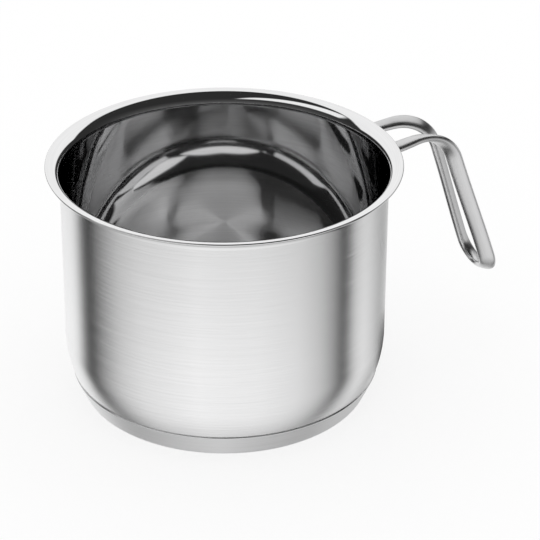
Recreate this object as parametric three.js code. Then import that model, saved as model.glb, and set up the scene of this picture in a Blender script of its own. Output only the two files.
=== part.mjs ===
// Milk pot: a steel shell with a flared pouring rim, thicker round the corner of its floor, a sandwich
// base and a loop handle bent from one flat bar. Millimetres, Z up, the origin in the middle of the base
// face, the handle towards +X.
import * as THREE from "three";

const { degToRad, lerp, smoothstep } = THREE.MathUtils;

// Shell
const INNER_DIAMETER = 140;
const POT_HEIGHT = 109.5; // base face to the top of the rim
const SHELL_SHEET = 1.0;
const FLARE_RADIUS = 4.6; // outer side of the curve from the wall into the rim
const FLARE_TURN = degToRad(80); // away from upright
const RIM_LIP = 2.0; // straight part of the rim, along the sheet
const BELLY_RADIUS = 49; // the wall's long curve inwards above the base
const BELLY_TURN = degToRad(19.7);
const TUCK_RADIUS = 1.2; // the tight curve that tucks the wall in over the cap
const TUCK_RISE = 6.6; // centre of that curve above the shell's underside
const BEVEL_SLOPE = degToRad(28); // from the tuck down to the floor
const FLOOR_FILLET = 12;
const INNER_CORNER = 22; // from the inside of the wall to the floor

// Sandwich base
const CORE_THICKNESS = 5;
const CAP_SHEET = 0.6;
const CAP_SETBACK = 0.15; // lip of the cap inside the end of the belly
const CAP_SLOPE = degToRad(24); // side of the cap, away from upright
const CAP_CORNER = 3.8;

// Handle bar
const BAR_WIDTH = 7.6;
const BAR_THICKNESS = 3.4;
const BAR_SQUARENESS = 2.7; // 2 makes the section an ellipse, more makes its faces flatter
const ROOT_DROP = 7.1; // middle of the bar at the wall, below the top of the rim
const ARM_RISE = degToRad(6.2);
const GRIP_REACH = 34.8; // wall to the corner where the arm and the grip would cross
const ELBOW_RADIUS = 21.4;
const GRIP_SLANT = degToRad(19.3); // away from upright
const GRIP_LENGTH = 83.6; // that corner to the bottom of the loop
const ROOT_SPACING = 22.1; // between the middles of the two strands, at the wall
const NECK_SPACING = 16.4; // below the elbow
const LOOP_SPACING = 21.5; // at the turn
const BAR_TWIST = degToRad(48);
const TWIST_LEAD = 11; // the twist starts this far before the elbow
const TWIST_TAIL = 3.5; // and ends this far after it

// Fits
const SEAT_GAP = 0.3; // between faces that are bonded or welded together
const WELD_LEG = 1.2;
const WELD_HOLLOW = 0.3; // middle of the weld's face, as a share of its leg

// Facets
const TURN_STEPS = 76;
const CHORD_SAG = 0.06; // farthest that a facet of a section's arc lies from the arc
const SIDE_STEPS = 32;
const LOOP_STEPS = 8;
const BAR_SIDES = 16;
const WELD_STEPS = 24;
const SEAT_STEPS = 40; // halvings when a point is slid onto the wall

// The shell's outer face in section: (radius, height)
const WALL_RADIUS = INNER_DIAMETER / 2 + SHELL_SHEET;
const FLOOR_HEIGHT = CAP_SHEET + SEAT_GAP + CORE_THICKNESS + SEAT_GAP;
const DOWN = -Math.PI / 2;
const BEVEL_BEARING = DOWN + BEVEL_SLOPE;
const tuckCentre = new THREE.Vector2(
  WALL_RADIUS - BELLY_RADIUS + (BELLY_RADIUS - TUCK_RADIUS) * Math.cos(BELLY_TURN),
  FLOOR_HEIGHT + TUCK_RISE,
);
const bellyCentre = new THREE.Vector2(
  WALL_RADIUS - BELLY_RADIUS,
  tuckCentre.y + (BELLY_RADIUS - TUCK_RADIUS) * Math.sin(BELLY_TURN),
);
const bevel = tangent(tuckCentre, TUCK_RADIUS, BEVEL_BEARING);
const floorCentre = crossing(offset(bevel, -FLOOR_FILLET), level(FLOOR_HEIGHT + FLOOR_FILLET));
const flareEnd = Math.PI - FLARE_TURN;
const lipStep = new THREE.Vector2(Math.sin(FLARE_TURN), Math.cos(FLARE_TURN)).multiplyScalar(RIM_LIP);
const rimRise = (FLARE_RADIUS + SHELL_SHEET / 2) * Math.sin(FLARE_TURN) + lipStep.y + SHELL_SHEET / 2;
const flareCentre = new THREE.Vector2(WALL_RADIUS + FLARE_RADIUS, POT_HEIGHT - rimRise);

// The cap in section: its lip lies close under the tuck
const capLipRadius = polar(tuckCentre, TUCK_RADIUS, -BELLY_TURN).x - CAP_SETBACK - CAP_SHEET / 2;
const capLipReach = TUCK_RADIUS + SEAT_GAP + CAP_SHEET / 2;
const capLipCentre = polar(tuckCentre, capLipReach, -Math.acos((capLipRadius - tuckCentre.x) / capLipReach));
const capSide = tangent(capLipCentre, CAP_SHEET / 2, -CAP_SLOPE);
const capCornerCentre = crossing(offset(capSide, -CAP_CORNER), level(CAP_CORNER));

// Point at a distance and bearing from a centre
function polar(centre, distance, bearing) {
  return new THREE.Vector2(Math.cos(bearing), Math.sin(bearing)).multiplyScalar(distance).add(centre);
}

function arc(centre, radius, from, to) {
  const facetTurn = 2 * Math.acos(Math.max(1 - CHORD_SAG / radius, 0));
  const steps = Math.ceil(Math.abs(to - from) / facetTurn);
  return Array.from({ length: steps + 1 }, (_, i) => polar(centre, radius, lerp(from, to, i / steps)));
}

// A line of the section is kept as its normal and its distance from the origin along that normal
function tangent(centre, radius, bearing) {
  const normal = polar(new THREE.Vector2(), 1, bearing);
  return { normal, distance: normal.dot(centre) + radius };
}

function level(height) {
  return { normal: new THREE.Vector2(0, 1), distance: height };
}

function offset(line, outwards) {
  return { normal: line.normal, distance: line.distance + outwards };
}

function crossing(one, other) {
  const turn = one.normal.cross(other.normal);
  return new THREE.Vector2(
    (one.distance * other.normal.y - other.distance * one.normal.y) / turn,
    (other.distance * one.normal.x - one.distance * other.normal.x) / turn,
  );
}

// The flare and the lip of the rim, a depth inside the shell's outer face
function rimFace(depth) {
  const flare = arc(flareCentre, FLARE_RADIUS + depth, Math.PI, flareEnd);
  return [...flare, flare.at(-1).clone().add(lipStep)];
}

// The shell's outer face, from the axis to the end of the lip
function outerFace() {
  return [
    new THREE.Vector2(0, FLOOR_HEIGHT),
    ...arc(floorCentre, FLOOR_FILLET, DOWN, BEVEL_BEARING),
    ...arc(tuckCentre, TUCK_RADIUS, BEVEL_BEARING, -BELLY_TURN),
    ...arc(bellyCentre, BELLY_RADIUS, -BELLY_TURN, 0).slice(1),
    ...rimFace(0),
  ];
}

// The shell's inner face, likewise
function innerFace() {
  const floor = FLOOR_HEIGHT + SHELL_SHEET;
  const cornerCentre = new THREE.Vector2(INNER_DIAMETER / 2 - INNER_CORNER, floor + INNER_CORNER);
  return [
    new THREE.Vector2(0, floor),
    ...arc(cornerCentre, INNER_CORNER, DOWN, 0),
    ...rimFace(SHELL_SHEET),
  ];
}

// Solid of revolution about Z
function turned(profile) {
  return new THREE.LatheGeometry(profile, TURN_STEPS).rotateX(Math.PI / 2);
}

function potBody() {
  const outer = outerFace();
  const inner = innerFace();
  const edgeCentre = outer.at(-1).clone().lerp(inner.at(-1), 0.5);
  const edge = arc(edgeCentre, SHELL_SHEET / 2, flareEnd - Math.PI, flareEnd).slice(1, -1);
  return turned([...outer, ...edge, ...inner.reverse()]);
}

function baseCap() {
  return turned([
    new THREE.Vector2(0, 0),
    ...arc(capCornerCentre, CAP_CORNER, DOWN, -CAP_SLOPE),
    ...arc(capLipCentre, CAP_SHEET / 2, -CAP_SLOPE, Math.PI - CAP_SLOPE),
    ...arc(capCornerCentre, CAP_CORNER - CAP_SHEET, -CAP_SLOPE, DOWN),
    new THREE.Vector2(0, CAP_SHEET),
  ]);
}

function heatCore() {
  const inset = CAP_SHEET + SEAT_GAP;
  return turned([
    new THREE.Vector2(0, inset),
    ...arc(capCornerCentre, CAP_CORNER - inset, DOWN, -CAP_SLOPE),
    crossing(offset(capSide, -inset), offset(bevel, SEAT_GAP)),
    ...arc(floorCentre, FLOOR_FILLET + SEAT_GAP, BEVEL_BEARING, DOWN),
    new THREE.Vector2(0, FLOOR_HEIGHT - SEAT_GAP),
  ]);
}

// The handle's side view, from the wall out along the arm, round the elbow and down the grip
const armDirection = new THREE.Vector2(Math.cos(ARM_RISE), Math.sin(ARM_RISE));
const gripDirection = new THREE.Vector2(Math.sin(GRIP_SLANT), -Math.cos(GRIP_SLANT));
const root = new THREE.Vector2(WALL_RADIUS, POT_HEIGHT - ROOT_DROP);
const elbowTurn = Math.PI / 2 + ARM_RISE - GRIP_SLANT;
const elbowTrim = ELBOW_RADIUS * Math.tan(elbowTurn / 2);
const armLength = GRIP_REACH / Math.cos(ARM_RISE) - elbowTrim;
const neckLength = armLength + ELBOW_RADIUS * elbowTurn;
const loopRadius = LOOP_SPACING / 2;

function sideView() {
  const armEnd = root.clone().addScaledVector(armDirection, armLength);
  const elbowCentre = polar(armEnd, ELBOW_RADIUS, DOWN + ARM_RISE);
  const straight = GRIP_LENGTH - elbowTrim - loopRadius;
  const gripEnd = polar(elbowCentre, ELBOW_RADIUS, GRIP_SLANT).addScaledVector(gripDirection, straight);
  const path = new THREE.Path();
  path.moveTo(root.x, root.y);
  path.lineTo(armEnd.x, armEnd.y);
  path.absarc(elbowCentre.x, elbowCentre.y, ELBOW_RADIUS, Math.PI / 2 + ARM_RISE, GRIP_SLANT, true);
  path.lineTo(gripEnd.x, gripEnd.y);
  return path;
}

// Half the distance between the strands, at a length along the side view
function halfSpacing(length, fullLength) {
  const below = smoothstep(length, neckLength, fullLength);
  const above = smoothstep(length, 0, neckLength);
  return lerp(lerp(ROOT_SPACING, NECK_SPACING, above), LOOP_SPACING, below) / 2;
}

// Stations of the left strand: the bar's middle, the way out of the loop and the way off the pot
function strandStations() {
  const path = sideView();
  const fullLength = path.getLength();
  const stations = [];
  for (let i = 0; i <= SIDE_STEPS; i++) {
    const point = path.getPointAt(i / SIDE_STEPS);
    const along = path.getTangentAt(i / SIDE_STEPS);
    const length = (fullLength * i) / SIDE_STEPS;
    stations.push({
      middle: new THREE.Vector3(point.x, halfSpacing(length, fullLength), point.y),
      outOfLoop: new THREE.Vector3(0, 1, 0),
      offPot: new THREE.Vector3(-along.y, 0, along.x),
      twist: BAR_TWIST * smoothstep(length, armLength - TWIST_LEAD, neckLength + TWIST_TAIL),
    });
  }
  const { middle: gripEnd, offPot, twist } = stations.at(-1);
  const along = new THREE.Vector3(gripDirection.x, 0, gripDirection.y);
  const turnCentre = new THREE.Vector3(gripEnd.x, 0, gripEnd.z);
  for (let i = 1; i <= LOOP_STEPS; i++) {
    const bearing = ((Math.PI / 2) * i) / LOOP_STEPS;
    const outOfLoop = along.clone().multiplyScalar(Math.sin(bearing));
    outOfLoop.y = Math.cos(bearing);
    const middle = turnCentre.clone().addScaledVector(outOfLoop, loopRadius);
    stations.push({ middle, outOfLoop, offPot, twist });
  }
  return stations;
}

// Axes of the bar's section at a station, at right angles to the bar
function sectionAxes(station, ahead) {
  const broad = station.outOfLoop.clone().multiplyScalar(Math.cos(station.twist));
  broad.addScaledVector(station.offPot, Math.sin(station.twist));
  broad.addScaledVector(ahead, -broad.dot(ahead)).normalize();
  return { broad, thin: new THREE.Vector3().crossVectors(ahead, broad) };
}

// Points round the section, a superellipse, grown by a margin all round
function sectionPoints(middle, { broad, thin }, sides, margin = 0) {
  return Array.from({ length: sides }, (_, i) => {
    const bearing = (2 * Math.PI * i) / sides;
    const across = signedPower(Math.cos(bearing), 2 / BAR_SQUARENESS);
    const through = signedPower(Math.sin(bearing), 2 / BAR_SQUARENESS);
    const normal = new THREE.Vector2(
      signedPower(across, BAR_SQUARENESS - 1) / BAR_WIDTH,
      signedPower(through, BAR_SQUARENESS - 1) / BAR_THICKNESS,
    ).normalize();
    return middle
      .clone()
      .addScaledVector(broad, (across * BAR_WIDTH) / 2 + normal.x * margin)
      .addScaledVector(thin, (through * BAR_THICKNESS) / 2 + normal.y * margin);
  });
}

// Power of a value's size, with the value's sign
function signedPower(value, power) {
  return Math.sign(value) * Math.abs(value) ** power;
}

// Radius of the shell's outer face at a height between the belly and the lip
function shellRadius(height) {
  const rise = Math.max(height - flareCentre.y, 0);
  return flareCentre.x - Math.sqrt(Math.max(FLARE_RADIUS ** 2 - rise ** 2, 0));
}

// The point slid along the arm until it stands off the shell's face by the seat gap
function seated(point) {
  const ahead = new THREE.Vector3(armDirection.x, 0, armDirection.y);
  let [near, far] = [-WALL_RADIUS / 2, WALL_RADIUS / 2];
  for (let i = 0; i < SEAT_STEPS; i++) {
    const slide = (near + far) / 2;
    const tried = point.clone().addScaledVector(ahead, slide);
    const outside = Math.hypot(tried.x, tried.y) > shellRadius(tried.z) + SEAT_GAP;
    [near, far] = outside ? [near, slide] : [slide, far];
  }
  return point.clone().addScaledVector(ahead, far);
}

function mirrored(point) {
  return new THREE.Vector3(point.x, -point.y, point.z);
}

// Skin over a row of rings with the same number of points; without end points the row closes on itself
function skinned(rings, startPoint, endPoint) {
  const sides = rings[0].length;
  const index = [];
  const links = startPoint ? rings.length - 1 : rings.length;
  for (let i = 0; i < links; i++) {
    const here = i * sides;
    const next = ((i + 1) % rings.length) * sides;
    for (let j = 0; j < sides; j++) {
      const k = (j + 1) % sides;
      index.push(here + j, here + k, next + k, here + j, next + k, next + j);
    }
  }
  const points = rings.flat();
  if (startPoint) {
    const last = (rings.length - 1) * sides;
    points.push(startPoint, endPoint);
    for (let j = 0; j < sides; j++) {
      const k = (j + 1) % sides;
      index.push(points.length - 2, k, j, points.length - 1, last + j, last + k);
    }
  }
  const geometry = new THREE.BufferGeometry().setFromPoints(points);
  geometry.setIndex(index);
  geometry.computeVertexNormals();
  return geometry;
}

function handleLoop() {
  const stations = strandStations();
  const rings = stations.map((station, i) => {
    const before = stations[Math.max(i - 1, 0)].middle;
    const after = stations[i + 1]?.middle ?? mirrored(before);
    const ahead = after.clone().sub(before).normalize();
    return sectionPoints(station.middle, sectionAxes(station, ahead), BAR_SIDES);
  });
  rings[0] = rings[0].map(seated);
  const otherStrand = rings.slice(0, -1).reverse();
  const loop = [...rings, ...otherStrand.map((ring) => ring.map(mirrored))];
  const startPoint = seated(stations[0].middle);
  return skinned(loop, startPoint, mirrored(startPoint));
}

// Fillet weld round one end of the bar, on the left for side 1 and on the right for side -1
function handleWeld(side) {
  const ahead = new THREE.Vector3(armDirection.x, 0, armDirection.y);
  const station = strandStations()[0];
  const axes = sectionAxes(station, ahead);
  const footing = (margin, rise) =>
    sectionPoints(station.middle, axes, WELD_STEPS, margin).map((point) =>
      seated(point).addScaledVector(ahead, rise),
    );
  const hollow = WELD_HOLLOW * WELD_LEG;
  const rows = [
    footing(SEAT_GAP, 0),
    footing(SEAT_GAP + WELD_LEG, 0),
    footing(SEAT_GAP + hollow, hollow),
    footing(SEAT_GAP, WELD_LEG),
  ];
  if (side > 0) return skinned(rows);
  return skinned(rows.map((row) => row.map(mirrored).reverse()));
}

function steel(color, roughness) {
  return new THREE.MeshStandardMaterial({ color, roughness, metalness: 1 });
}

const pot = new THREE.Group();

function add(name, geometry, material) {
  const mesh = new THREE.Mesh(geometry, material);
  mesh.name = name;
  pot.add(mesh);
}

add("pot_body", potBody(), steel(0xd2d2d2, 0.28));
add("base_cap", baseCap(), steel(0xc8c8c8, 0.35));
add("heat_core", heatCore(), steel(0xdadadc, 0.5));
add("handle_loop", handleLoop(), steel(0xcdcdcd, 0.25));
add("handle_weld_left", handleWeld(1), steel(0xb4b4b4, 0.4));
add("handle_weld_right", handleWeld(-1), steel(0xb4b4b4, 0.4));

export default pot;
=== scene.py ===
"""Milk pot in satin and polished steel on a pale studio floor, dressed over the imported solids."""
import math
from typing import NamedTuple

import bpy
from mathutils import Matrix, Vector


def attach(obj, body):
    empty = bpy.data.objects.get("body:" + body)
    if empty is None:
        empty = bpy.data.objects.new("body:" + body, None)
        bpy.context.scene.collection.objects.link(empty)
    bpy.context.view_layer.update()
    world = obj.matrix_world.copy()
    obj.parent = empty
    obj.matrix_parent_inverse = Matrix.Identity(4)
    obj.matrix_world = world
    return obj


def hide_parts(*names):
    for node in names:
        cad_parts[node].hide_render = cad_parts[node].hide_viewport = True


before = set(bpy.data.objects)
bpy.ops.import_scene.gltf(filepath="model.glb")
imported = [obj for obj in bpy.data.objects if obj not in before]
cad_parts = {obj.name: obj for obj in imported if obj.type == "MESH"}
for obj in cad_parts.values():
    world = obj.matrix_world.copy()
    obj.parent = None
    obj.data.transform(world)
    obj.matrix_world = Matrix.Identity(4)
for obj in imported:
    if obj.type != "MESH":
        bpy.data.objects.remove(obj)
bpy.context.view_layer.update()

MM = 0.001
DOWN = -math.pi / 2

# Shell, as in the solids
INNER_DIAMETER = 140 * MM
POT_HEIGHT = 109.5 * MM
SHELL_SHEET = 1.0 * MM
FLARE_RADIUS = 4.6 * MM
FLARE_TURN = math.radians(80)
RIM_LIP = 2.0 * MM
BELLY_RADIUS = 49 * MM
BELLY_TURN = math.radians(19.7)
TUCK_RADIUS = 1.2 * MM
TUCK_RISE = 6.6 * MM
BEVEL_SLOPE = math.radians(28)
FLOOR_FILLET = 12 * MM
CORE_STACK = 5.6 * MM  # the core and the gaps above and below it

# Inner corner between the floor and the wall, an oval
CORNER_REACH = 20 * MM  # in from the wall
CORNER_RISE = 17 * MM  # up from the floor
SATIN_TURN = math.radians(26)  # the floor's satin finish runs this far up the corner

# Sandwich base
CAP_SHEET = 0.6 * MM
CAP_SLOPE = math.radians(24)
CAP_CORNER = 3.8 * MM

# Handle bar
BAR_WIDTH = 7.6 * MM
BAR_THICKNESS = 3.4 * MM
BAR_SQUARENESS = 2.7
ROOT_DROP = 7.1 * MM
ARM_RISE = math.radians(6.2)
GRIP_REACH = 34.8 * MM
ELBOW_RADIUS = 21.4 * MM
GRIP_SLANT = math.radians(19.3)
GRIP_LENGTH = 83.6 * MM
ROOT_SPACING = 22.1 * MM
NECK_SPACING = 16.4 * MM
LOOP_SPACING = 21.5 * MM
BAR_TWIST = math.radians(48)
TWIST_LEAD = 11 * MM
TWIST_TAIL = 3.5 * MM

# Seams and welds
SEAM_GAP = 0.06 * MM
LIP_PROUD = 0.1 * MM  # the cap's rolled lip, beyond the end of the belly
WELD_LEG = 1.2 * MM
WELD_HOLLOW = 0.45  # middle of the bead's face, as a share of its leg
WELD_RIPPLES = 34
WELD_RIPPLE_HEIGHT = 0.05 * MM

# Facets
TURN_STEPS = 288
FACET_TURN = math.radians(2.5)
BAR_SIDES = 64
STRAND_STEPS = 150
LOOP_STEPS = 40
WELD_STEPS = 204
WELD_ROWS = 8
SEAT_STEPS = 40
FLOOR_SIDES = 64

# Camera, in a frame turned about the pot's axis so that it looks along +Y
VIEW_TURN = math.radians(-27.64)
CAMERA_PLACE = Vector((0.0199, -0.9056, 0.5499))
CAMERA_DROP = math.radians(28.6)
CAMERA_ROLL = math.radians(0.364)
CAMERA_LENS = 156.0

# Studio floor, and how often light may bounce
FLOOR_RADIUS = 4.0
FLOOR_DROP = 0.05 * MM
FLOOR_ALBEDO = 0.22
LIGHT_BOUNCES = 16

# Brightness of the studio's table: bearing from the camera to the right in degrees, value
STUDIO_TABLE = (
    (-180, 1.0),
    (-133, 0.97),
    (-125, 0.8),
    (-118, 0.2),
    (-113, 0.0),
    (-106, 0.03),
    (-98, 0.28),
    (-91, 0.42),
    (-78, 0.66),
    (-60, 0.82),
    (-18, 1.0),
    (26, 0.94),
    (54, 0.82),
    (72, 0.64),
    (85, 0.36),
    (91, 0.02),
    (97, 0.1),
    (104, 0.64),
    (117, 0.86),
    (145, 0.44),
    (180, 1.0),
)
TABLE_FADE = math.radians(3)
UNDER_POT = 0.6  # share of the table's light that is left straight below
UNDER_RISE = (math.radians(-80), math.radians(-45))
DIM = 0.03  # the unlit room
GLOW = 0.08  # added to it in the low front
GLOW_HIGH = math.radians(38)
GLOW_FADE = (-0.8, 0.4)  # where the glow is full and where it ends, along the view

# The light panels' corners as seen from the pot, clockwise: bearing as above, rise
LIGHT_PANELS = (
    ((128, 19), (-172, 2), (-170, 57), (150, 57), (128, 37)),
    ((-177, 0), (-109, 19), (-110, 34), (-124, 49), (-140, 58), (-177, 57)),
    ((-8, 38), (-26, 57), (-120, 47), (-90, 29)),
)
PANEL_FADE = math.radians(2)

# The pot's shade on the table under the handle: its middle and how much light is left there
SHADE_PLACE = Vector((76 * MM, 2 * MM, 0))
SHADE_RADII = (22 * MM, 42 * MM)
SHADE_LIGHT = 0.05

# Steel: noises as scale, detail and roughness
GRAIN_NOISE = (1.0, 3.0, 0.65)
CLOUD_NOISE = (28.0, 2.0, 0.5)
NOISE_MIDDLE = 0.5
GRAIN_TONE = 0.2  # how far the brush lines move the steel's colour
CLOUD_TONE = 0.04  # and how far its slow unevenness does
BLUE_TINT = 1.003
# Height where the painted shade below the rim begins to dim the wall's grey
PAINTED_RIM_SHADE_START = 0.4 * POT_HEIGHT
LINE_SHARE = 0.7  # of the change in roughness, the rest being the slow unevenness
STREAK_SPAN = (0.25, 0.75)
LINE_DEPTH = 0.02 * MM
BRUSH_TURN = 0.25  # from the tangent to the wide way of the shine, in turns
BAR_MAP = "bar"
ROUND_POT = {"direction_type": "RADIAL", "axis": "Z"}
ALONG_BAR = {"direction_type": "UV_MAP", "uv_map": BAR_MAP}


class Finish(NamedTuple):
    """A steel's colour and shine, and what its brush lines do to them."""

    shade: float
    roughness: float
    streak: float  # share by which the lines change the roughness
    anisotropy: float
    bump: float  # strength of the lines' relief
    along: float = 25  # how many lines there are along the brushing
    across: float = 2600  # and across it
    painted_rim_shade: float = 1.0  # share of the grey left at the rim, a painted shade below the rim
    sway: float = 0.0  # how far each line leans along the brushing
    edge: float = 1.0  # tint of what is seen at a glancing angle


SATIN_WALL = Finish(
    shade=0.92,
    roughness=0.2,
    streak=0.14,
    anisotropy=1.0,
    bump=0.04,
    along=28,
    across=1900,
    # painted shade: the wall's grey falls to this share at the rim
    painted_rim_shade=0.85,
    sway=0.06,
)
POLISHED_RIM = Finish(shade=0.82, roughness=0.06, streak=0.2, anisotropy=0.0, bump=0.01)
MIRROR_WALL = Finish(shade=0.73, roughness=0.04, streak=0.25, anisotropy=0.0, bump=0.0, edge=0.45)
SATIN_FLOOR = Finish(shade=0.97, roughness=0.33, streak=0.15, anisotropy=0.95, bump=0.12)
SATIN_CAP = Finish(shade=0.9, roughness=0.34, streak=0.12, anisotropy=0.8, bump=0.15)
TURNED_BASE = Finish(shade=0.86, roughness=0.32, streak=0.2, anisotropy=0.7, bump=0.25)
POLISHED_LIP = Finish(shade=0.85, roughness=0.12, streak=0.2, anisotropy=0.0, bump=0.01)
SATIN_BAR = Finish(
    shade=0.68, roughness=0.3, streak=0.15, anisotropy=0.5, bump=0.06, along=30, across=14
)
WELD_BEAD = Finish(
    shade=0.7, roughness=0.38, streak=0.25, anisotropy=0.0, bump=0.1, along=400, across=400
)
CORE_ALUMINIUM = Finish(shade=0.85, roughness=0.45, streak=0.2, anisotropy=0.5, bump=0.2)


def polar(centre, distance, bearing):
    return centre + distance * Vector((math.cos(bearing), math.sin(bearing)))


def tangent(centre, radius, bearing):
    """A line of the section, as its normal and its distance from the origin along that normal."""
    normal = polar(Vector((0, 0)), 1, bearing)
    return normal, normal.dot(centre) + radius


def offset(line, outwards):
    return line[0], line[1] + outwards


def level(height):
    return Vector((0, 1)), height


def crossing(one, other):
    (n, d), (m, e) = one, other
    turn = n.x * m.y - n.y * m.x
    return Vector((d * m.y - e * n.y, e * n.x - d * m.x)) / turn


# Section of the shell: x is the distance from the axis, y the height
WALL_RADIUS = INNER_DIAMETER / 2 + SHELL_SHEET
FLOOR_HEIGHT = CAP_SHEET + CORE_STACK
BEVEL_BEARING = DOWN + BEVEL_SLOPE
FLARE_END = math.pi - FLARE_TURN
tuck_centre = Vector((
    WALL_RADIUS - BELLY_RADIUS + (BELLY_RADIUS - TUCK_RADIUS) * math.cos(BELLY_TURN),
    FLOOR_HEIGHT + TUCK_RISE,
))
belly_centre = Vector((
    WALL_RADIUS - BELLY_RADIUS,
    tuck_centre.y + (BELLY_RADIUS - TUCK_RADIUS) * math.sin(BELLY_TURN),
))
bevel = tangent(tuck_centre, TUCK_RADIUS, BEVEL_BEARING)
floor_centre = crossing(offset(bevel, -FLOOR_FILLET), level(FLOOR_HEIGHT + FLOOR_FILLET))
lip_step = RIM_LIP * Vector((math.sin(FLARE_TURN), math.cos(FLARE_TURN)))
rim_rise = (FLARE_RADIUS + SHELL_SHEET / 2) * math.sin(FLARE_TURN) + lip_step.y + SHELL_SHEET / 2
flare_centre = Vector((WALL_RADIUS + FLARE_RADIUS, POT_HEIGHT - rim_rise))

# Section of the cap
cap_lip_radius = polar(tuck_centre, TUCK_RADIUS, -BELLY_TURN).x + LIP_PROUD - CAP_SHEET / 2
cap_lip_reach = TUCK_RADIUS + SEAM_GAP + CAP_SHEET / 2
cap_lip_bearing = -math.acos((cap_lip_radius - tuck_centre.x) / cap_lip_reach)
cap_lip_centre = polar(tuck_centre, cap_lip_reach, cap_lip_bearing)
cap_side = tangent(cap_lip_centre, CAP_SHEET / 2, -CAP_SLOPE)
cap_corner_centre = crossing(offset(cap_side, -CAP_CORNER), level(CAP_CORNER))

# Side view of the handle: x is the distance from the axis, y the height
arm_direction = Vector((math.cos(ARM_RISE), math.sin(ARM_RISE)))
arm_ahead = Vector((arm_direction.x, 0, arm_direction.y))
grip_direction = Vector((math.sin(GRIP_SLANT), -math.cos(GRIP_SLANT)))
root = Vector((WALL_RADIUS, POT_HEIGHT - ROOT_DROP))
elbow_turn = math.pi / 2 + ARM_RISE - GRIP_SLANT
elbow_trim = ELBOW_RADIUS * math.tan(elbow_turn / 2)
arm_length = GRIP_REACH / math.cos(ARM_RISE) - elbow_trim
neck_length = arm_length + ELBOW_RADIUS * elbow_turn
loop_radius = LOOP_SPACING / 2
strand_length = neck_length + GRIP_LENGTH - elbow_trim - loop_radius

# Zones of the shell and of the cap: the numbers of their materials
WALL, RIM, INSIDE, FLOOR = range(4)
SIDE, UNDERSIDE, LIP = range(3)


class Row(NamedTuple):
    """A point of a turned section, its normal, and the zone of the face that starts there."""

    point: Vector
    normal: Vector
    zone: int


def arc(centre, radius, start, end, facing, zone):
    """Rows along an arc; facing is 1 where the face looks away from the centre."""
    steps = max(2, math.ceil(abs(end - start) / FACET_TURN))
    rows = []
    for i in range(steps + 1):
        bearing = start + (end - start) * i / steps
        away = polar(Vector((0, 0)), 1, bearing)
        rows.append(Row(centre + radius * away, facing * away, zone))
    return rows


def inner_corner(start, end, zone):
    """Rows along the oval between the floor and the wall."""
    centre = Vector((
        INNER_DIAMETER / 2 - CORNER_REACH,
        FLOOR_HEIGHT + SHELL_SHEET + CORNER_RISE,
    ))
    steps = math.ceil((end - start) / FACET_TURN)
    rows = []
    for i in range(steps + 1):
        c, s = polar(Vector((0, 0)), 1, start + (end - start) * i / steps)
        point = centre + Vector((CORNER_REACH * c, CORNER_RISE * s))
        normal = -Vector((CORNER_RISE * c, CORNER_REACH * s)).normalized()
        rows.append(Row(point, normal, zone))
    return rows


def rim_face(depth, facing):
    """The flare and the lip, a depth inside the shell's outer face."""
    flare = arc(flare_centre, FLARE_RADIUS + depth, math.pi, FLARE_END, -facing, RIM)
    end = flare[-1]
    return flare + [Row(end.point + lip_step, end.normal, RIM)]


def outer_face():
    """The outside from the middle of the floor to the rim."""
    return [
        Row(Vector((0, FLOOR_HEIGHT)), Vector((0, -1)), WALL),
        *arc(floor_centre, FLOOR_FILLET, DOWN, BEVEL_BEARING, 1, WALL),
        *arc(tuck_centre, TUCK_RADIUS, BEVEL_BEARING, -BELLY_TURN, 1, WALL),
        *arc(belly_centre, BELLY_RADIUS, -BELLY_TURN, 0, 1, WALL)[1:],
        *rim_face(0, 1),
    ]


def inner_face():
    """The inside from the floor's middle to the rim, finished in satin up to part of the corner."""
    satin_end = DOWN + SATIN_TURN
    wall_top, *rim = rim_face(SHELL_SHEET, -1)
    return [
        Row(Vector((0, FLOOR_HEIGHT + SHELL_SHEET)), Vector((0, 1)), FLOOR),
        *inner_corner(DOWN, satin_end, FLOOR),
        *inner_corner(satin_end, 0, INSIDE)[1:],
        Row(wall_top.point, wall_top.normal, INSIDE),
        *rim,
    ]


def shell_rows():
    """The shell's whole section: up the outside, over the rim's edge and down the inside."""
    outer, inner = outer_face(), inner_face()
    edge_centre = (outer[-1].point + inner[-1].point) / 2
    edge = arc(edge_centre, SHELL_SHEET / 2, FLARE_END - math.pi, FLARE_END, 1, RIM)
    return outer + edge[1:-1] + inner[::-1]


def cap_rows():
    """The cap's whole section: out along the underside, over the lip and back inside."""
    return [
        Row(Vector((0, 0)), Vector((0, -1)), UNDERSIDE),
        *arc(cap_corner_centre, CAP_CORNER, DOWN, -CAP_SLOPE, 1, SIDE),
        *arc(cap_lip_centre, CAP_SHEET / 2, -CAP_SLOPE, math.pi - CAP_SLOPE, 1, LIP),
        *arc(cap_corner_centre, CAP_CORNER - CAP_SHEET, -CAP_SLOPE, DOWN, -1, SIDE),
        Row(Vector((0, CAP_SHEET)), Vector((0, 1)), SIDE),
    ]


def new_object(name, vertices, faces, normals=None):
    mesh = bpy.data.meshes.new(name)
    mesh.from_pydata(vertices, [], faces)
    mesh.polygons.foreach_set("use_smooth", [True] * len(mesh.polygons))
    if normals:
        mesh.normals_split_custom_set_from_vertices(normals)
    mesh.validate()
    piece = bpy.data.objects.new(name, mesh)
    bpy.context.scene.collection.objects.link(piece)
    return piece


def band(ring, next_ring, sides):
    """Faces between two rings, each given by the number of its first vertex."""
    faces = []
    for i in range(sides):
        k = (i + 1) % sides
        faces.append((ring + i, ring + k, next_ring + k, next_ring + i))
    return faces


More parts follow.
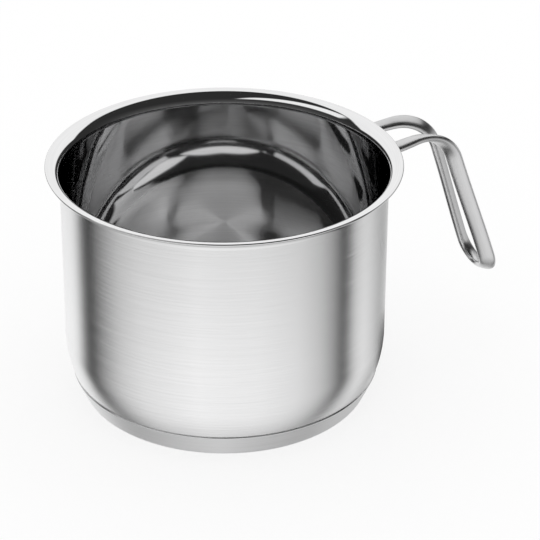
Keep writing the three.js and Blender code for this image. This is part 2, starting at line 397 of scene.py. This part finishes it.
def turned_points(rows):
    """Vertices and normals ring by ring, and last those of the two rows on the axis."""
    vertices, normals = [], []
    for point, normal, _ in rows[1:-1]:
        for i in range(TURN_STEPS):
            bearing = math.tau * i / TURN_STEPS
            c, s = math.cos(bearing), math.sin(bearing)
            vertices.append((point.x * c, point.x * s, point.y))
            normals.append((normal.x * c, normal.x * s, normal.y))
    for point, normal, _ in (rows[0], rows[-1]):
        vertices.append((0, 0, point.y))
        normals.append((0, 0, normal.y))
    return vertices, normals


def turned_faces(rows):
    """Faces from the first row to the last, and the zone of each."""
    rings = len(rows) - 2
    top = (rings - 1) * TURN_STEPS
    first, last = rings * TURN_STEPS, rings * TURN_STEPS + 1
    faces = [(first, (i + 1) % TURN_STEPS, i) for i in range(TURN_STEPS)]
    for j in range(rings - 1):
        faces += band(j * TURN_STEPS, (j + 1) * TURN_STEPS, TURN_STEPS)
    faces += [(top + i, top + (i + 1) % TURN_STEPS, last) for i in range(TURN_STEPS)]
    starts = rows[:-2] + rows[-1:]
    zones = [row.zone for row in starts for _ in range(TURN_STEPS)]
    return faces, zones


def turned(name, rows, materials):
    """Solid of revolution about Z; the first and last rows lie on the axis."""
    vertices, normals = turned_points(rows)
    faces, zones = turned_faces(rows)
    piece = new_object(name, vertices, faces, normals)
    for material in materials:
        piece.data.materials.append(material)
    piece.data.polygons.foreach_set("material_index", zones)
    return piece


class Station(NamedTuple):
    """A place along the bar: its middle, the ways out of the loop and off the pot, the twist."""

    middle: Vector
    out_of_loop: Vector
    off_pot: Vector
    twist: float


def smoothstep(value, low, high):
    t = min(max((value - low) / (high - low), 0), 1)
    return t * t * (3 - 2 * t)


def lerp(a, b, t):
    return a + (b - a) * t


def side_view(length):
    """Point and heading of the handle's side view at a length from the wall."""
    if length < arm_length:
        return root + length * arm_direction, arm_direction
    arm_end = root + arm_length * arm_direction
    centre = polar(arm_end, ELBOW_RADIUS, DOWN + ARM_RISE)
    turn = min((length - arm_length) / ELBOW_RADIUS, elbow_turn)
    bearing = math.pi / 2 + ARM_RISE - turn
    heading = Vector((math.sin(bearing), -math.cos(bearing)))
    point = polar(centre, ELBOW_RADIUS, bearing)
    return point + max(length - neck_length, 0) * heading, heading


def half_spacing(length):
    """Half the distance between the two strands at a length from the wall."""
    below = smoothstep(length, neck_length, strand_length)
    above = smoothstep(length, 0, neck_length)
    return lerp(lerp(ROOT_SPACING, NECK_SPACING, above), LOOP_SPACING, below) / 2


def strand_stations():
    """The left strand's stations, from the wall to the middle of the loop's end."""
    stations = []
    for i in range(STRAND_STEPS + 1):
        length = strand_length * i / STRAND_STEPS
        point, heading = side_view(length)
        middle = Vector((point.x, half_spacing(length), point.y))
        off_pot = Vector((-heading.y, 0, heading.x))
        turned_so_far = smoothstep(length, arm_length - TWIST_LEAD, neck_length + TWIST_TAIL)
        stations.append(Station(middle, Vector((0, 1, 0)), off_pot, BAR_TWIST * turned_so_far))
    return stations + loop_stations(stations[-1])


def loop_stations(grip_end):
    """Stations round half of the loop's end."""
    along = Vector((grip_direction.x, 0, grip_direction.y))
    turn_centre = Vector((grip_end.middle.x, 0, grip_end.middle.z))
    stations = []
    for i in range(1, LOOP_STEPS + 1):
        bearing = math.pi / 2 * i / LOOP_STEPS
        out_of_loop = math.sin(bearing) * along + math.cos(bearing) * Vector((0, 1, 0))
        middle = turn_centre + loop_radius * out_of_loop
        stations.append(Station(middle, out_of_loop, grip_end.off_pot, grip_end.twist))
    return stations


def signed_power(value, power):
    return math.copysign(abs(value) ** power, value)


def section_axes(station, ahead):
    """The broad and the thin way across the bar where it runs ahead."""
    turn = station.twist
    broad = math.cos(turn) * station.out_of_loop + math.sin(turn) * station.off_pot
    broad = (broad - broad.dot(ahead) * ahead).normalized()
    return broad, ahead.cross(broad)


def section_points(middle, axes, sides, margin=0.0):
    """Points round the bar's section, a superellipse, grown by a margin all round."""
    broad, thin = axes
    points = []
    for i in range(sides):
        bearing = math.tau * i / sides
        across = signed_power(math.cos(bearing), 2 / BAR_SQUARENESS)
        through = signed_power(math.sin(bearing), 2 / BAR_SQUARENESS)
        normal = Vector((
            signed_power(across, BAR_SQUARENESS - 1) / BAR_WIDTH,
            signed_power(through, BAR_SQUARENESS - 1) / BAR_THICKNESS,
        )).normalized()
        points.append(
            middle
            + (across * BAR_WIDTH / 2 + normal.x * margin) * broad
            + (through * BAR_THICKNESS / 2 + normal.y * margin) * thin
        )
    return points


def shell_radius(height):
    """Radius of the shell's outer face on the wall and the flare."""
    rise = max(height - flare_centre.y, 0)
    return flare_centre.x - math.sqrt(max(FLARE_RADIUS ** 2 - rise ** 2, 0))


def seated(point):
    """The point slid along the arm until it stands off the shell's face by the seam gap."""
    near, far = -WALL_RADIUS / 2, WALL_RADIUS / 2
    for _ in range(SEAT_STEPS):
        slide = (near + far) / 2
        tried = point + slide * arm_ahead
        if math.hypot(tried.x, tried.y) > shell_radius(tried.z) + SEAM_GAP:
            far = slide
        else:
            near = slide
    return point + far * arm_ahead


def mirrored(point):
    return Vector((point.x, -point.y, point.z))


def strand_rings(stations):
    """The bar's section at each station of the left strand, with its root on the wall."""
    rings = []
    for i, station in enumerate(stations):
        before = stations[max(i - 1, 0)].middle
        after = stations[i + 1].middle if i + 1 < len(stations) else mirrored(before)
        axes = section_axes(station, (after - before).normalized())
        rings.append(section_points(station.middle, axes, BAR_SIDES))
    rings[0] = [seated(point) for point in rings[0]]
    return rings


def bar_faces(rings):
    """Faces along the bar, and the fans that close its two ends."""
    faces = []
    for i in range(rings - 1):
        faces += band(i * BAR_SIDES, (i + 1) * BAR_SIDES, BAR_SIDES)
    last = (rings - 1) * BAR_SIDES
    start, end = rings * BAR_SIDES, rings * BAR_SIDES + 1
    for j in range(BAR_SIDES):
        k = (j + 1) % BAR_SIDES
        faces.append((start, k, j))
        faces.append((end, last + j, last + k))
    return faces


def handle_loop(material):
    stations = strand_stations()
    left = strand_rings(stations)
    right = [[mirrored(point) for point in ring] for ring in left[-2::-1]]
    loop = left + right
    root_middle = seated(stations[0].middle)
    vertices = [point for ring in loop for point in ring] + [root_middle, mirrored(root_middle)]
    piece = new_object("handle_bar", vertices, bar_faces(len(loop)))
    piece.data.materials.append(material)
    lay_out_bar(piece.data, len(loop))
    return piece


def lay_out_bar(mesh, rings):
    """UV map with U along the bar and V round it."""
    layer = mesh.uv_layers.new(name=BAR_MAP)
    for polygon in mesh.polygons:
        indices = list(polygon.vertices)
        sides = [v % BAR_SIDES for v in indices]
        wraps = max(sides) - min(sides) > BAR_SIDES / 2
        for loop, vertex, side in zip(polygon.loop_indices, indices, sides):
            ring = min(vertex // BAR_SIDES, rings - 1)
            around = side + BAR_SIDES if wraps and side < BAR_SIDES / 2 else side
            layer.data[loop].uv = (ring / (rings - 1), around / BAR_SIDES)


def weld_ring(middle, axes, t):
    """Ring of the bead's hollow face, from the wall where t is 0 to the bar where it is 1."""
    bow = 4 * t * (1 - t) * (1 / 2 - WELD_HOLLOW) * WELD_LEG
    out = max((1 - t) * WELD_LEG - bow, 0)
    rise = max(t * WELD_LEG - bow, 0)
    ring = []
    for j, point in enumerate(section_points(middle, axes, WELD_STEPS, SEAM_GAP + out)):
        wave = abs(math.sin(WELD_RIPPLES * math.pi * j / WELD_STEPS))
        ripple = WELD_RIPPLE_HEIGHT * math.sin(math.pi * t) * wave
        ring.append(seated(point) + (rise + ripple) * arm_ahead)
    return ring


def handle_weld(name, side, material):
    """Fillet bead round one end of the bar, with the ripples of its passes."""
    station = strand_stations()[0]
    axes = section_axes(station, arm_ahead)
    rings = [weld_ring(station.middle, axes, i / WELD_ROWS) for i in range(WELD_ROWS + 1)]
    foot = section_points(station.middle, axes, WELD_STEPS, SEAM_GAP)
    rings.append([seated(point) for point in foot])
    if side < 0:
        rings = [[mirrored(point) for point in reversed(ring)] for ring in rings]
    faces = []
    for i in range(len(rings)):
        faces += band(i * WELD_STEPS, (i + 1) % len(rings) * WELD_STEPS, WELD_STEPS)
    piece = new_object(name, [point for ring in rings for point in ring], faces)
    piece.data.materials.append(material)
    return piece


class Nodes:
    """A node tree with short ways to add nodes and sums."""

    def __init__(self, owner):
        owner.use_nodes = True
        self.tree = owner.node_tree
        self.tree.nodes.clear()

    def add(self, kind, settings=None, **inputs):
        node = self.tree.nodes.new(kind)
        for key, value in (settings or {}).items():
            setattr(node, key, value)
        for key, value in inputs.items():
            self.feed(node.inputs[key.replace("_", " ")], value)
        return node

    def feed(self, socket, value):
        if isinstance(value, bpy.types.NodeSocket):
            self.tree.links.new(value, socket)
        else:
            socket.default_value = value

    def feed_all(self, node, values):
        """Feeds a node's inputs in their order, and gives its outputs."""
        for socket, value in zip(node.inputs, values):
            self.feed(socket, value)
        return node.outputs

    def math(self, operation, *values):
        node = self.add("ShaderNodeMath", {"operation": operation})
        return self.feed_all(node, values)[0]

    def vectors(self, operation, *values):
        """Outputs of a sum with vectors: the vector and the value."""
        node = self.add("ShaderNodeVectorMath", {"operation": operation})
        return self.feed_all(node, values)

    def mix(self, factor, low, high):
        """low where factor is 0, high where it is 1, for numbers."""
        return self.math("MULTIPLY_ADD", factor, self.math("SUBTRACT", high, low), low)

    def ramp(self, value, low, high, to_low, to_high, smooth=False):
        kind = "SMOOTHSTEP" if smooth else "LINEAR"
        node = self.add("ShaderNodeMapRange", {"interpolation_type": kind})
        return self.feed_all(node, (value, low, high, to_low, to_high))[0]

    def noise(self, vector, scale, detail, roughness):
        node = self.add(
            "ShaderNodeTexNoise", Vector=vector, Scale=scale, Detail=detail, Roughness=roughness
        )
        return node.outputs["Fac"]

    def grey(self, value):
        return self.add("ShaderNodeCombineColor", Red=value, Green=value, Blue=value).outputs[0]


def turned_grain(nodes, finish):
    """Brush lines round the pot's axis; the finish counts them to the metre."""
    place = nodes.add("ShaderNodeTexCoord").outputs["Object"]
    x, y, z = nodes.add("ShaderNodeSeparateXYZ", Vector=place).outputs
    squares = nodes.math("ADD", nodes.math("MULTIPLY", x, x), nodes.math("MULTIPLY", y, y))
    reach = nodes.math("ADD", nodes.math("SQRT", squares), z)
    vector = nodes.add(
        "ShaderNodeCombineXYZ",
        X=nodes.math("MULTIPLY", x, finish.along),
        Y=nodes.math("MULTIPLY", y, finish.along),
        Z=nodes.math("MULTIPLY", reach, finish.across),
    ).outputs[0]
    return nodes.noise(vector, *GRAIN_NOISE)


def bar_grain(nodes, finish):
    """Brush lines along the handle bar; the finish counts them over its UV map."""
    place = nodes.add("ShaderNodeUVMap", {"uv_map": BAR_MAP}).outputs[0]
    u, v, _ = nodes.add("ShaderNodeSeparateXYZ", Vector=place).outputs
    around = nodes.math("MULTIPLY", v, math.tau)
    vector = nodes.add(
        "ShaderNodeCombineXYZ",
        X=nodes.math("MULTIPLY", u, finish.along),
        Y=nodes.math("MULTIPLY", nodes.math("SINE", around), finish.across),
        Z=nodes.math("MULTIPLY", nodes.math("COSINE", around), finish.across),
    ).outputs[0]
    return nodes.noise(vector, *GRAIN_NOISE)


def swayed(nodes, normal, along, lines, sway):
    """The normal with each brush line leaning a little along the brushing."""
    lean = nodes.math("MULTIPLY", nodes.math("SUBTRACT", lines, NOISE_MIDDLE), sway)
    scale = nodes.add("ShaderNodeVectorMath", {"operation": "SCALE"}, Vector=along, Scale=lean)
    leaning = nodes.vectors("ADD", normal, scale.outputs[0])[0]
    return nodes.vectors("NORMALIZE", leaning)[0]


def steel_colour(nodes, finish, place, lines, cloud):
    """Grey that the lines and the slow unevenness move a little, and that is dimmed up to the rim as
    painted shade.
    """
    lighter = nodes.math("SUBTRACT", lines, NOISE_MIDDLE)
    value = nodes.math("MULTIPLY_ADD", lighter, GRAIN_TONE, finish.shade)
    patch = nodes.math("SUBTRACT", cloud, NOISE_MIDDLE)
    value = nodes.math("MULTIPLY_ADD", patch, CLOUD_TONE, value)
    # painted shade: where the finish asks, the grey dims from partway up the wall to the rim
    height = nodes.add("ShaderNodeSeparateXYZ", Vector=place).outputs["Z"]
    left = nodes.ramp(height, PAINTED_RIM_SHADE_START, POT_HEIGHT, 1.0, finish.painted_rim_shade)
    value = nodes.math("MULTIPLY", value, left)
    blue = nodes.math("MULTIPLY", value, BLUE_TINT)
    return nodes.add("ShaderNodeCombineColor", Red=value, Green=value, Blue=blue).outputs[0]


def steel_roughness(nodes, finish, lines, cloud):
    """Roughness that streaks along the lines and drifts with the slow unevenness."""
    streaks = nodes.math("MULTIPLY", lines, LINE_SHARE)
    patches = nodes.math("MULTIPLY", cloud, 1 - LINE_SHARE)
    change = nodes.math("ADD", streaks, patches)
    low = finish.roughness * (1 - finish.streak)
    high = finish.roughness * (1 + finish.streak)
    return nodes.ramp(change, *STREAK_SPAN, low, high)


def steel(name, finish, grain, brushing):
    """Brushed or polished steel: the grain moves roughness, normal and, a little, the colour."""
    material = bpy.data.materials.new(name)
    nodes = Nodes(material)
    lines = grain(nodes, finish)
    place = nodes.add("ShaderNodeTexCoord").outputs["Object"]
    cloud = nodes.noise(place, *CLOUD_NOISE)
    shader = nodes.add(
        "ShaderNodeBsdfPrincipled",
        Base_Color=steel_colour(nodes, finish, place, lines, cloud),
        Metallic=1.0,
        Specular_Tint=(finish.edge, finish.edge, finish.edge, 1),
        Roughness=steel_roughness(nodes, finish, lines, cloud),
        Anisotropic=finish.anisotropy,
        Anisotropic_Rotation=BRUSH_TURN,
    )
    relief = nodes.add("ShaderNodeBump", Strength=finish.bump, Distance=LINE_DEPTH, Height=lines)
    normal = relief.outputs[0]
    if finish.anisotropy:
        along = nodes.add("ShaderNodeTangent", brushing).outputs[0]
        nodes.feed(shader.inputs["Tangent"], along)
        normal = swayed(nodes, normal, along, lines, finish.sway)
    nodes.feed(shader.inputs["Normal"], normal)
    nodes.add("ShaderNodeOutputMaterial", Surface=shader.outputs[0])
    return material


def turned_steel(name, finish):
    return steel(name, finish, turned_grain, ROUND_POT)


def dress():
    """Puts the finished pieces in the place of the solids."""
    wall = turned_steel("satin_wall", SATIN_WALL)
    rim = turned_steel("polished_rim", POLISHED_RIM)
    inside = turned_steel("mirror_wall", MIRROR_WALL)
    floor = turned_steel("satin_floor", SATIN_FLOOR)
    cap = turned_steel("satin_cap", SATIN_CAP)
    under = turned_steel("turned_base", TURNED_BASE)
    lip = turned_steel("polished_lip", POLISHED_LIP)
    bar = steel("satin_bar", SATIN_BAR, bar_grain, ALONG_BAR)
    bead = turned_steel("weld_bead", WELD_BEAD)
    core = turned_steel("core_aluminium", CORE_ALUMINIUM)
    dressed = (
        (turned("pot_shell", shell_rows(), (wall, rim, inside, floor)), "pot_body", "shell_steel"),
        (turned("base_shell", cap_rows(), (cap, under, lip)), "base_cap", "base_steel"),
        (handle_loop(bar), "handle_loop", "handle_steel"),
        (handle_weld("weld_bead_left", 1, bead), "handle_weld_left", "weld_steel"),
        (handle_weld("weld_bead_right", -1, bead), "handle_weld_right", "weld_steel"),
    )
    for piece, node, slot in dressed:
        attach(piece, "root")
        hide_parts(node)
    core_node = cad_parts["heat_core"]
    core_node.data.materials.clear()
    core_node.data.materials.append(core)


def add_floor():
    """A wide round floor just under the pot's base."""
    vertices = []
    for i in range(FLOOR_SIDES):
        x, y = polar(Vector((0, 0)), FLOOR_RADIUS, math.tau * i / FLOOR_SIDES)
        vertices.append((x, y, -FLOOR_DROP))
    floor = new_object("studio_floor", vertices, [tuple(range(FLOOR_SIDES))])
    floor.data.materials.append(studio_paper())


def studio_paper():
    """Paper that is white to the camera but for shadows, and to the steel the studio's table."""
    material = bpy.data.materials.new("studio_paper")
    nodes = Nodes(material)
    path = nodes.add("ShaderNodeLightPath").outputs
    paper = nodes.add("ShaderNodeBsdfDiffuse", Color=(FLOOR_ALBEDO, FLOOR_ALBEDO, FLOOR_ALBEDO, 1))
    strength = nodes.math("MULTIPLY", path["Is Camera Ray"], 1 - FLOOR_ALBEDO)
    glow = nodes.add("ShaderNodeEmission", Color=(1, 1, 1, 1), Strength=strength)
    both = nodes.add("ShaderNodeAddShader")
    white = nodes.feed_all(both, (paper.outputs[0], glow.outputs[0]))[0]
    either = nodes.add("ShaderNodeMixShader")
    seen = nodes.feed_all(either, (path["Is Glossy Ray"], white, shaded_table(nodes)))[0]
    nodes.add("ShaderNodeOutputMaterial", Surface=seen)
    return material


def shaded_table(nodes):
    """What the steel sees of the floor: the studio's table, less the pot's shade under the handle."""
    place = nodes.add("ShaderNodeTexCoord").outputs["Object"]
    away = nodes.vectors("DISTANCE", place, SHADE_PLACE)["Value"]
    left = nodes.ramp(away, *SHADE_RADII, SHADE_LIGHT, 1.0, smooth=True)
    return nodes.add("ShaderNodeBsdfTransparent", Color=nodes.grey(left)).outputs[0]


def way_to(bearing, rise):
    """The direction at a bearing from the camera and a rise, in degrees."""
    turn, lift = math.radians(bearing), math.radians(rise)
    flat = math.cos(lift)
    return Vector((math.sin(turn) * flat, -math.cos(turn) * flat, math.sin(lift)))


def panel(nodes, way, corners):
    """1 where the way meets the panel, 0 elsewhere."""
    fade = math.sin(PANEL_FADE)
    inside = 1.0
    for here, ahead in zip(corners, corners[1:] + corners[:1]):
        edge = way_to(*here).cross(way_to(*ahead)).normalized()
        side = nodes.vectors("DOT_PRODUCT", way, edge)["Value"]
        within = nodes.ramp(side, -fade, fade, 0.0, 1.0, smooth=True)
        inside = nodes.math("MULTIPLY", inside, within)
    return inside


def table(nodes, bearing):
    """The table's brightness all round."""
    ramp = nodes.add("ShaderNodeValToRGB", Fac=nodes.ramp(bearing, -math.pi, math.pi, 0.0, 1.0))
    stops = ramp.color_ramp.elements
    while len(stops) > 1:
        stops.remove(stops[-1])
    for i, (degrees, value) in enumerate(STUDIO_TABLE):
        place = (math.radians(degrees) + math.pi) / math.tau
        stop = stops[0] if i == 0 else stops.new(place)
        stop.position = place
        stop.color = (value, value, value, 1)
    return ramp.outputs["Color"]


def room(nodes, way, y, rise):
    """The dark room, with a glow in the low front and the light panels."""
    front = nodes.ramp(y, *GLOW_FADE, 1.0, 0.0, smooth=True)
    glow = nodes.math("MULTIPLY", front, nodes.ramp(rise, 0.0, GLOW_HIGH, GLOW, 0.0))
    lit = 0.0
    for corners in LIGHT_PANELS:
        lit = nodes.math("MAXIMUM", lit, panel(nodes, way, corners))
    return nodes.mix(lit, nodes.math("ADD", DIM, glow), 1.0)


def studio(nodes):
    """What the steel sees: a bright table below and light panels in a dark room above."""
    generated = nodes.add("ShaderNodeTexCoord").outputs["Generated"]
    turn = nodes.add("ShaderNodeVectorRotate", {"rotation_type": "Z_AXIS"}, Vector=generated)
    nodes.feed(turn.inputs["Angle"], -VIEW_TURN)
    way = turn.outputs[0]
    x, y, z = nodes.add("ShaderNodeSeparateXYZ", Vector=way).outputs
    bearing = nodes.math("ARCTAN2", x, nodes.math("MULTIPLY", y, -1.0))
    rise = nodes.math("ARCSINE", z)
    under = nodes.ramp(rise, *UNDER_RISE, UNDER_POT, 1.0, smooth=True)
    below = nodes.math("MULTIPLY", table(nodes, bearing), under)
    off_table = nodes.ramp(rise, -TABLE_FADE, TABLE_FADE, 0.0, 1.0, smooth=True)
    return nodes.mix(off_table, below, room(nodes, way, y, rise))


def add_studio():
    """A world that is white to the camera and for soft light, and the studio to the steel."""
    world = bpy.data.worlds.new("studio")
    bpy.context.scene.world = world
    world.cycles.sampling_method = "NONE"
    nodes = Nodes(world)
    seen = nodes.add("ShaderNodeLightPath").outputs["Is Glossy Ray"]
    light = nodes.mix(seen, 1.0, studio(nodes))
    shine = nodes.add("ShaderNodeBackground", Color=nodes.grey(light), Strength=1.0)
    nodes.add("ShaderNodeOutputWorld", Surface=shine.outputs[0])


def add_camera():
    data = bpy.data.cameras.new("camera")
    data.lens = CAMERA_LENS
    camera = bpy.data.objects.new("camera", data)
    camera.matrix_world = (
        Matrix.Rotation(VIEW_TURN, 4, "Z")
        @ Matrix.Translation(CAMERA_PLACE)
        @ Matrix.Rotation(math.pi / 2 - CAMERA_DROP, 4, "X")
        @ Matrix.Rotation(CAMERA_ROLL, 4, "Z")
    )
    bpy.context.scene.collection.objects.link(camera)
    bpy.context.scene.camera = camera


bpy.context.scene.view_settings.view_transform = "Standard"
bpy.context.scene.cycles.max_bounces = LIGHT_BOUNCES
bpy.context.scene.cycles.glossy_bounces = LIGHT_BOUNCES
add_camera()
add_studio()
add_floor()
dress()
